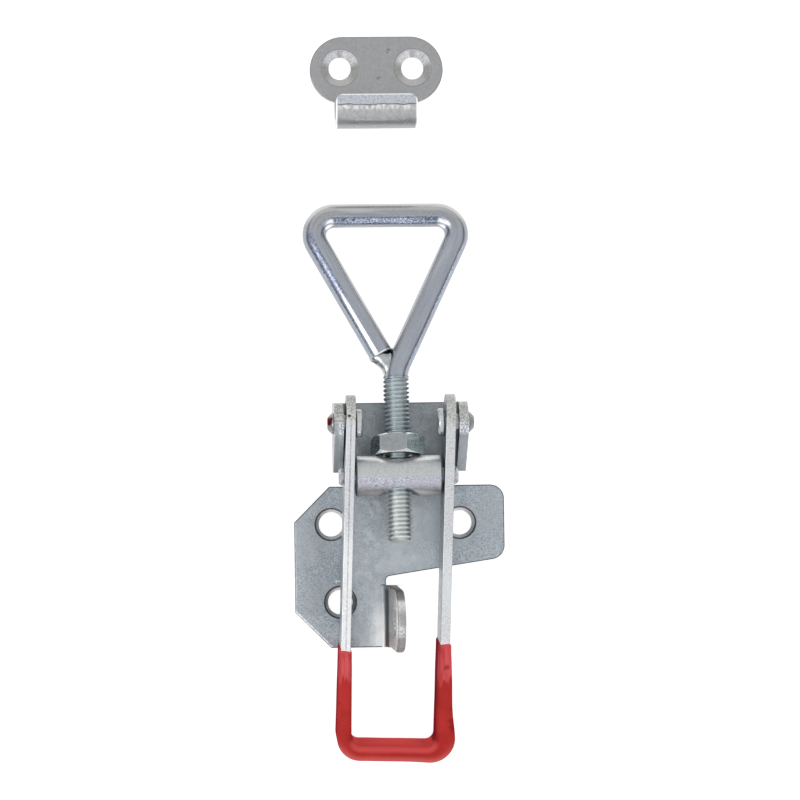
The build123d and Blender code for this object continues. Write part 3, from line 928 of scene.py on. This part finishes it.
# Painted shade in the roots of the thread.
mat.coat((0.25, 0.28, 0.29), from_axis.ramp(2.42, 2.85, 0.5, 0))
tail_tone = mat.mix(from_axis.ramp(2.5, 2.8), (0.62, 0.62, 0.61), (0.97, 0.97, 0.94))
mat.coat(tail_tone, mat.axis(rod_dir, rod_origin).ramp(-4, -5.5, 0, 0.5))
thread_zinc = mat.finish(mat.uneven(0.7, 0.34, 0.46), 0.006)

# %% [markdown]
# The modifier needs an object to sit on. An empty mesh holds it for a moment, and its result is
# taken as a plain mesh, turned from Z to the rod's own direction and set at its tail.

# %% The thread as a mesh
holder = new_object("thread_holder", bpy.data.meshes.new("thread_holder"))
modifier = holder.modifiers.new("rolled thread", "NODES")
modifier.node_group = thread_tree()
identifiers = {
    item.name: item.identifier for item in modifier.node_group.interface.items_tree
    if item.in_out == "INPUT"
}
modifier[identifiers["Length"]] = thread_tail + thread_start
modifier[identifiers["Finish"]] = thread_zinc
thread_mesh = applied_mesh(holder)
holder.modifiers.clear()
bpy.data.objects.remove(holder)
to_rod = Matrix((X_AXIS, rod_dir.cross(X_AXIS), rod_dir)).transposed().to_4x4()
thread_mesh.transform(Matrix.Translation(on_rod(0, -thread_tail)) @ to_rod @ Matrix.Scale(MM, 4))
with shaping(thread_mesh) as made:
    bmesh.ops.recalc_face_normals(made, faces=made.faces)
thread_mesh.shade_smooth()
thread_mesh.set_sharp_from_angle(angle=math.radians(40))
thread = new_object("pull_rod_thread", thread_mesh)
print("thread", len(thread_mesh.polygons), "faces")

# %% [markdown]
# Drawn wire mirrors the room in long lines, and its streaks follow the UV map. Much of what it
# mirrors is painted in: a blue speckle on the near sides, a dark line on the bar with dark patches
# towards its ends, a paler far side and a white spot at each inner corner of the loop. The left
# leg has one painted hard flash of the lamp, which breaks up into painted dark specks half way.

# %% Finish of the wire
mat = Finish("zinc_wire", (0.265, 0.27, 0.28), (0.39, 0.4, 0.415), (0.35, 0.36, 0.39), 0.45, 0.3, 7)
uv_place = mat.add("ShaderNodeUVMap", uv_map="along")
streaks = mat.noise(1, detail=4, rough=0.6, stretch=(34, 9, 1), at=uv_place)
broad = mat.noise(1, stretch=(7, 5, 1), at=uv_place)
side_mm, along_mm = mat.axis(X_AXIS, rod_origin), mat.axis(rod_dir, rod_origin)
mat.coat((0.2, 0.22, 0.27), streaks.ramp(0.42, 0.68, 0, 0.5))
mat.coat((0.52, 0.54, 0.56), broad.ramp(0.5, 0.72, 0, 0.55))
bar = along_mm.ramp(loop_reach - 4.2, loop_reach - 2.6)
mat.coat((0.325, 0.365, 0.44), bar.ramp(0, 1, 0.45, 0))

low = mat.tilt(NEAR)
# Painted reflection: a blue speckle on the near sides.
low_side = low.ramp(0.06, 0.24) * mat.facing(UP, 0.55, 0.72)
patches = mat.mottle(3.2, 0.36, 0.56, 0.3, 0.95) | bar * 0.9
blue, _ = mat.zinc((0.12, 0.15, 0.235), (0.68, 0.75, 0.9), (0.34, 0.385, 0.5), 0.34, 0.13, 2)
mat.coat(blue, low_side * patches)
# Painted reflection: a dark line along the bar, and dark patches towards its ends.
from_middle = side_mm.off(bar_middle)
dark_line_reflection = bar * low.band(0.12, 0.34, 0.08) * from_middle.ramp(13.5, 12, 0, 0.6)
dark_end_reflection = bar * low.band(0.18, 0.6, 0.1) * from_middle.band(6, 13, 1.2)
dark_end_reflection = dark_end_reflection * mat.mottle(0.7, 0.42, 0.58, 0.8, 0.1)
mat.coat((0.06, 0.08, 0.13), dark_line_reflection | dark_end_reflection)

# Painted flash of the lamp on the left leg, breaking up into painted dark specks.
left_leg = side_mm.ramp(-2.6, -3.2) * along_mm.band(26, loop_reach - 4, 1)
flash_way = mat.tilt((-0.36, -0.08, 0.93))
flash = (flash_way + along_mm.ramp(43, 27, -0.014, 0)).ramp(0.978, 0.992)
mat.coat((0.97, 0.98, 1), left_leg * flash * along_mm.ramp(43.5, 39))
specks = mat.mix(mat.mottle(0.5, 0.42, 0.62), (0.1, 0.12, 0.18), (0.3, 0.33, 0.44))
upper_half = along_mm.ramp(38.5, 43, 0, 0.75)
mat.coat(specks, left_leg * flash_way.ramp(0.93, 0.98) * upper_half)
# Painted highlight: a white spot at each inner corner of the loop.
for corner_x in (-15, 11.8):
    lit = mat.spot(on_rod(corner_x, 58.3, 1.9), 2, 0.5, 0.5)
    mat.coat(WHITE, lit * low.ramp(0.2, 0.4))
# Painted highlight: the far side paler.
mat.coat((0.6, 0.6, 0.57), mat.facing(FAR, 0.3, 0.6) * 0.6)
uv_along = mat.add("ShaderNodeSeparateXYZ", {0: uv_place}, "Y")
cut_start, cut_full = (cut_face - 0.1) / UV_LENGTH, (cut_face + 0.05) / UV_LENGTH
mat.coat(BRIGHT_ZINC, uv_along.ramp(cut_start, cut_full))
wire_zinc = mat.finish(streaks.ramp(0.3, 0.7, 0.17, 0.3), 0.02, streaks)
settle(wire, "pull_rod", [wire_zinc], "zinc_rod", "pull_rod")

# %% Finish of the weld
mat = Finish("zinc_weld", (0.3, 0.32, 0.33), (0.55, 0.57, 0.58), (0.36, 0.4, 0.4), 0.7, 0.3, 3)
# Painted shade in the pocket beside the cut end of the leg.
mat.coat((0.03, 0.035, 0.035), mat.spot(on_rod(-0.8, 28.2, -0.4), 1.3, 0.4))
weld_zinc = mat.finish(mat.uneven(0.7, 0.2, 0.32), 0.02, mat.noise(0.9))
settle(weld, "pull_rod", [weld_zinc], "zinc_rod")
settle(thread, "pull_rod", [thread_zinc], "zinc_rod")

# %% [markdown]
# The lock nut's faces are drawn smooth and then plated, so it is the least mottled piece. Its
# faces that turn to the left and right are painted lighter as reflections, the chamfers at its
# ends get a painted highlight, and its edges get a painted highlight in a finish of their own.

# %% Lock nut
mat = Finish("zinc_nut", (0.25, 0.25, 0.26), (0.34, 0.35, 0.35), (0.27, 0.31, 0.33), 0.8, 0.3, 5)
# Painted reflections: the faces that turn left and right are lighter.
mat.coat((0.9, 1, 1), mat.facing(RIGHT, 0.25, 0.5))
mat.coat((0.84, 0.93, 0.96), mat.facing(LEFT, 0.5, 0.7))
# Painted highlight on the chamfers at both ends.
mat.coat(BRIGHT_ZINC, mat.tilt(rod_dir).off().band(0.4, 0.97, 0.08))
nut_zinc = mat.finish(mat.uneven(1.1, 0.22, 0.32), 0.008)


def edge_highlight(name, *tones, rim=None):
    """A finish that paints a highlight on edges; those below the rim's height get the rim's colour.
    """
    mat = Finish(name, *tones, 0.6)
    if rim:
        mat.coat(rim, mat.axis(UP).ramp(4, 5, 0.9, 0))
    return mat.finish(mat.crystals.ramp(0.3, 0.7, 0.25, 0.4), 0.01)


nut_edge = edge_highlight("zinc_nut_edge", (0.6, 0.61, 0.62), (0.95, 0.95, 0.95), (0.85, 0.86, 0.87))
nut = soften(clean_copy("lock_nut"), 0.24, 2, 15, edge_slot=1)
settle(nut, "lock_nut", [nut_zinc, nut_edge], "zinc_small", "lock_nut")

# %% [markdown]
# The strike is thin sheet whose tongue is rolled into a hook. The plate is plain grey with a few
# pits. The hook mirrors more, and this is painted in: a painted glint on the roll, painted shade
# in the fold under it, a lilac lip, painted shade on the faces towards the front, and painted
# highlights along its ends and the top edge of its lip.

# %% Strike: plate and hook
hook_middle = Vector((-4.05, 0, 0)) * MM
fold_y = 72.2

mat = Finish(
    "zinc_strike_smooth", (0.3, 0.305, 0.31), (0.37, 0.375, 0.38), (0.33, 0.33, 0.345), 0.6, 0.3, 6
)
y_mm = mat.axis(FAR)
scratch = mat.noise(0.5, stretch=(0.5, 3, 1))
mat.coat((0.15, 0.15, 0.16), scratch.ramp(0.7, 0.76, 0, 0.6))
hook = mat.axis(UP).ramp(4.5, 6)
ribs = mat.noise(0.7, detail=3, stretch=(1, 0.6, 1))
wavy_y = y_mm.wander(mat.noise(2.2), 0.9)
lip, _ = mat.zinc((0.32, 0.34, 0.4), (0.64, 0.66, 0.71), (0.5, 0.525, 0.6), 0.4, 0.2, 2)
glint = wavy_y.ramp(fold_y, 71.9) * wavy_y.ramp(70.7, 71.6) * ribs.ramp(0.35, 0.65, 0.1, 0.7)
hooked = mat.layers(
    (0.38, 0.39, 0.395),
    (ribs.ramp(0.3, 0.7), (0.47, 0.48, 0.48)),
    (glint, (0.9, 0.9, 0.88)),
    (wavy_y.ramp(72.1, 72.3), lip),
    # Painted shade along the fold.
    (wavy_y.off(fold_y).ramp(0.08, 0.2, 0.8, 0), (0.12, 0.13, 0.16)),
    # Painted shade on the faces towards the front.
    (mat.facing(NEAR, 0.35, 0.75) * 0.55, (0.27, 0.275, 0.285)),
)
mat.coat(hooked, hook)
# Painted highlights along the ends of the hook and the top edge of its lip.
end_light = mat.axis(RIGHT, hook_middle).off().ramp(8.8, 9.1)
mat.coat(WHITE, hook * (end_light | y_mm.ramp(74.3, 74.5, 0, 0.9)))
for *centre, size in (
    (-0.9, 85.5, 0.5), (-1.1, 84.9, 0.35), (-3.4, 79, 0.45), (-2.9, 79.2, 0.35), (8.6, 82, 0.5)
):
    pit = mat.spot(Vector((*centre, 2)) * MM, size, 0.7, size * 1.3)
    mat.coat((0.12, 0.12, 0.12), pit * 0.6)
strike_zinc = mat.finish(mat.uneven(1.5, 0.26, 0.36), 0.006)
strike_edge = edge_highlight(
    "zinc_strike_edge", (0.7, 0.71, 0.72), (0.97, 0.97, 0.98), (0.9, 0.9, 0.92),
    rim=(0.2, 0.195, 0.19),
)

# %% [markdown]
# The countersinks were cut with a rough tool. Their rings of marks come from a noise that reads
# the surface's direction, because on a cone that direction changes only round the hole. Painted
# light covers the side of each cone that faces the front, the far side is painted paler, and a
# painted lilac reflection lies at the outer edge of the lit part.

# %% Strike: countersinks
mat = Finish("zinc_strike_sink")
rings_cut = mat.noise(0.07, detail=4, rough=0.7, at=mat.normal)
# Painted light on the side of the cone that faces the front, and a paler far side.
lit = mat.tilt(NEAR).ramp(0, 0.45) * rings_cut.ramp(0.38, 0.58, 0.35, 1)
lit = lit * mat.tilt(RIGHT).off().ramp(0.04, 0.2, 0.45, 1)
mat.colour = mat.layers(
    (0.3, 0.3, 0.29),
    (mat.mottle(0.4, 0.35, 0.65), (0.42, 0.42, 0.4)),
    (mat.facing(FAR, 0.3, 0.62), (0.5, 0.5, 0.475)),
    (lit, (0.98, 0.98, 1)),
    (mat.mottle(0.3, 0.42, 0.6, 0.4, 0), (0.35, 0.35, 0.37)),
)
# Painted lilac reflection at the outer edge of the lit part.
mat.coat((0.6, 0.6, 0.85), lit * mat.axis(UP).ramp(1.6, 1.9, 0, 0.7))
strike_sink = mat.finish(
    rings_cut.ramp(0.3, 0.7, 0.4, 0.55), 0.01, rings_cut, metallic=0.25, specular=0.2
)

# %% Strike: shape
strike_x = -3.65
hole_side, hole_y = 8.35, 81.4
sink_r = 4.3
strike = clean_copy("strike_plate")
round_edges(strike, 0.55, lambda point: point.z > 7.5)
round_edges(strike, 0.22, lambda point: 1.9 < point.z < 2.1 and point.y > 74.5, slot=1)
strike = soften(strike, 0.22, 3, edge_slot=1)
strike.data.materials.append(None)
holes = [Vector((strike_x + side * hole_side, hole_y)) for side in (-1, 1)]
sink_faces = [
    face for face in strike.data.polygons if 0.4 < face.normal.z < 0.93
    and any((face.center.xy / MM - hole).length < sink_r for hole in holes)
]
for face in sink_faces:
    face.material_index = 2
print("countersink faces", len(sink_faces))
settle(strike, "base", [strike_zinc, strike_edge, strike_sink], "zinc_strike", "strike_plate")

# %% [markdown]
# Metal needs something to reflect. The world is plain white above, and a grey wall stands all
# round at the horizon, seen only in reflections. The floor is pale and keeps the shadow. Each
# needs only a few nodes, in a tree that is emptied first.

# %% Floor, world and wall


def bare_nodes(owner):
    """The nodes of a material or a world, with none in them yet."""
    owner.use_nodes = True
    owner.node_tree.nodes.clear()
    return Nodes(owner.node_tree)


half = 0.6
floor_mesh = bpy.data.meshes.new("floor")
floor_mesh.from_pydata(
    [(-half, -half, 0), (half, -half, 0), (half, half, 0), (-half, half, 0)], [], [(0, 1, 2, 3)]
)
floor = new_object("floor", floor_mesh)
floor.location.z = -0.03 * MM
floor_paint = bpy.data.materials.new("floor_paint")
nodes = bare_nodes(floor_paint)
diffuse = nodes.add("ShaderNodeBsdfDiffuse", {"Color": (0.45, 0.45, 0.45, 1)})
glow = nodes.add("ShaderNodeEmission", {"Strength": 0.86})
nodes.add("ShaderNodeOutputMaterial", {0: nodes.add("ShaderNodeAddShader", {0: diffuse, 1: glow})})
floor_mesh.materials.append(floor_paint)

world = bpy.data.worlds.new("studio")
bpy.context.scene.world = world
nodes = bare_nodes(world)
camera_ray, glossy_ray, clear_ray = (
    nodes.add("ShaderNodeLightPath", output=name)
    for name in ("Is Camera Ray", "Is Glossy Ray", "Is Transmission Ray")
)
plain, white = (
    nodes.add("ShaderNodeBackground", {"Color": (1, 1, 1, 1), "Strength": strength})
    for strength in (0.62, 1)
)
sockets = {0: camera_ray | glossy_ray | clear_ray, 1: plain, 2: white}
nodes.add("ShaderNodeOutputWorld", {0: nodes.add("ShaderNodeMixShader", sockets)})

wall_r, wall_low, wall_high = 0.62, 0.012, 0.24
wall_mesh = bpy.data.meshes.new("studio_wall")
with shaping(wall_mesh) as made:
    bmesh.ops.create_cone(
        made, cap_ends=False, segments=64, radius1=wall_r, radius2=wall_r,
        depth=wall_high - wall_low,
    )
wall = new_object("studio_wall", wall_mesh)
wall.location.z = (wall_high + wall_low) / 2
for ray in ("camera", "diffuse", "shadow", "transmission"):
    setattr(wall, "visible_" + ray, False)
wall_paint = bpy.data.materials.new("wall_paint")
nodes = bare_nodes(wall_paint)
place = nodes.add("ShaderNodeTexCoord", output="Object")
away = nodes.add("ShaderNodeSeparateXYZ", {0: place}, "Y")
grey = nodes.add("ShaderNodeEmission", {"Strength": away.ramp(0.15, 0.5, 0.3, 0.8)})
nodes.add("ShaderNodeOutputMaterial", {0: grey})
wall_mesh.materials.append(wall_paint)
print("wall", wall_low, "to", wall_high, "m high")

# %% [markdown]
# Three soft lamps light the piece: one from the front left, one long and low in front, which
# draws a line on every round piece, and one from behind right, which fills the shadows and isn't
# seen in reflections.

# %% Lamps


def lamp(name, place, target, size, power, glossy=True):
    """A soft lamp at a place, turned towards a point, in metres and watts."""
    data = bpy.data.lights.new(name, "AREA")
    data.shape = "RECTANGLE"
    data.size, data.size_y = size
    data.energy = power
    light = new_object(name, data)
    light.location = place
    light.rotation_euler = (Vector(target) - Vector(place)).to_track_quat("-Z", "Y").to_euler()
    light.visible_glossy = glossy
    print(name, power, "watts")


lamp("key", (-0.42, -0.10, 0.50), (0, 0, 0), (0.3, 0.3), 0.9)
lamp("low_front", (0.02, -0.62, 0.13), (0, 0.03, 0), (0.95, 0.12), 1.4)
lamp("fill", (0.25, 0.45, 0.55), (0, 0, 0), (0.4, 0.4), 1.4, glossy=False)

# %% [markdown]
# The camera looks almost straight down from about 0.7 m. It stands off to the left, so that the
# tab and the right side of the ears come into view, and it leans a little towards the middle
# of the latch.

# %% Camera
picture = 800
focal_pixels = 3100
aim_pixels = (185, 30)
foot_to_pivot = (41.70, 1.62)
camera_height = 711.6
roll = math.radians(0.8)
right = Vector((math.cos(roll), -math.sin(roll), 0))
up = Vector((math.sin(roll), math.cos(roll), 0))
foot = -(right * foot_to_pivot[0] + up * foot_to_pivot[1])
aim_x, aim_y = (pixels / focal_pixels for pixels in aim_pixels)
look = right * aim_x + up * aim_y + Vector(DOWN)

camera_data = bpy.data.cameras.new("camera")
camera_data.sensor_width = 36
camera_data.lens = focal_pixels / picture * camera_data.sensor_width * look.length
camera_data.clip_start = 0.01
camera_data.clip_end = 50
camera = new_object("camera", camera_data)
camera.location = Vector((foot.x, foot.y, camera_height)) * MM
back = -look.normalized()
side = up.cross(back).normalized()
camera.rotation_mode = "QUATERNION"
camera.rotation_quaternion = Matrix((side, back.cross(side), back)).transposed().to_quaternion()
bpy.context.scene.camera = camera
bpy.context.scene.view_settings.view_transform = "Standard"
print("camera at", [round(v, 4) for v in camera.location], "lens", round(camera_data.lens, 1))
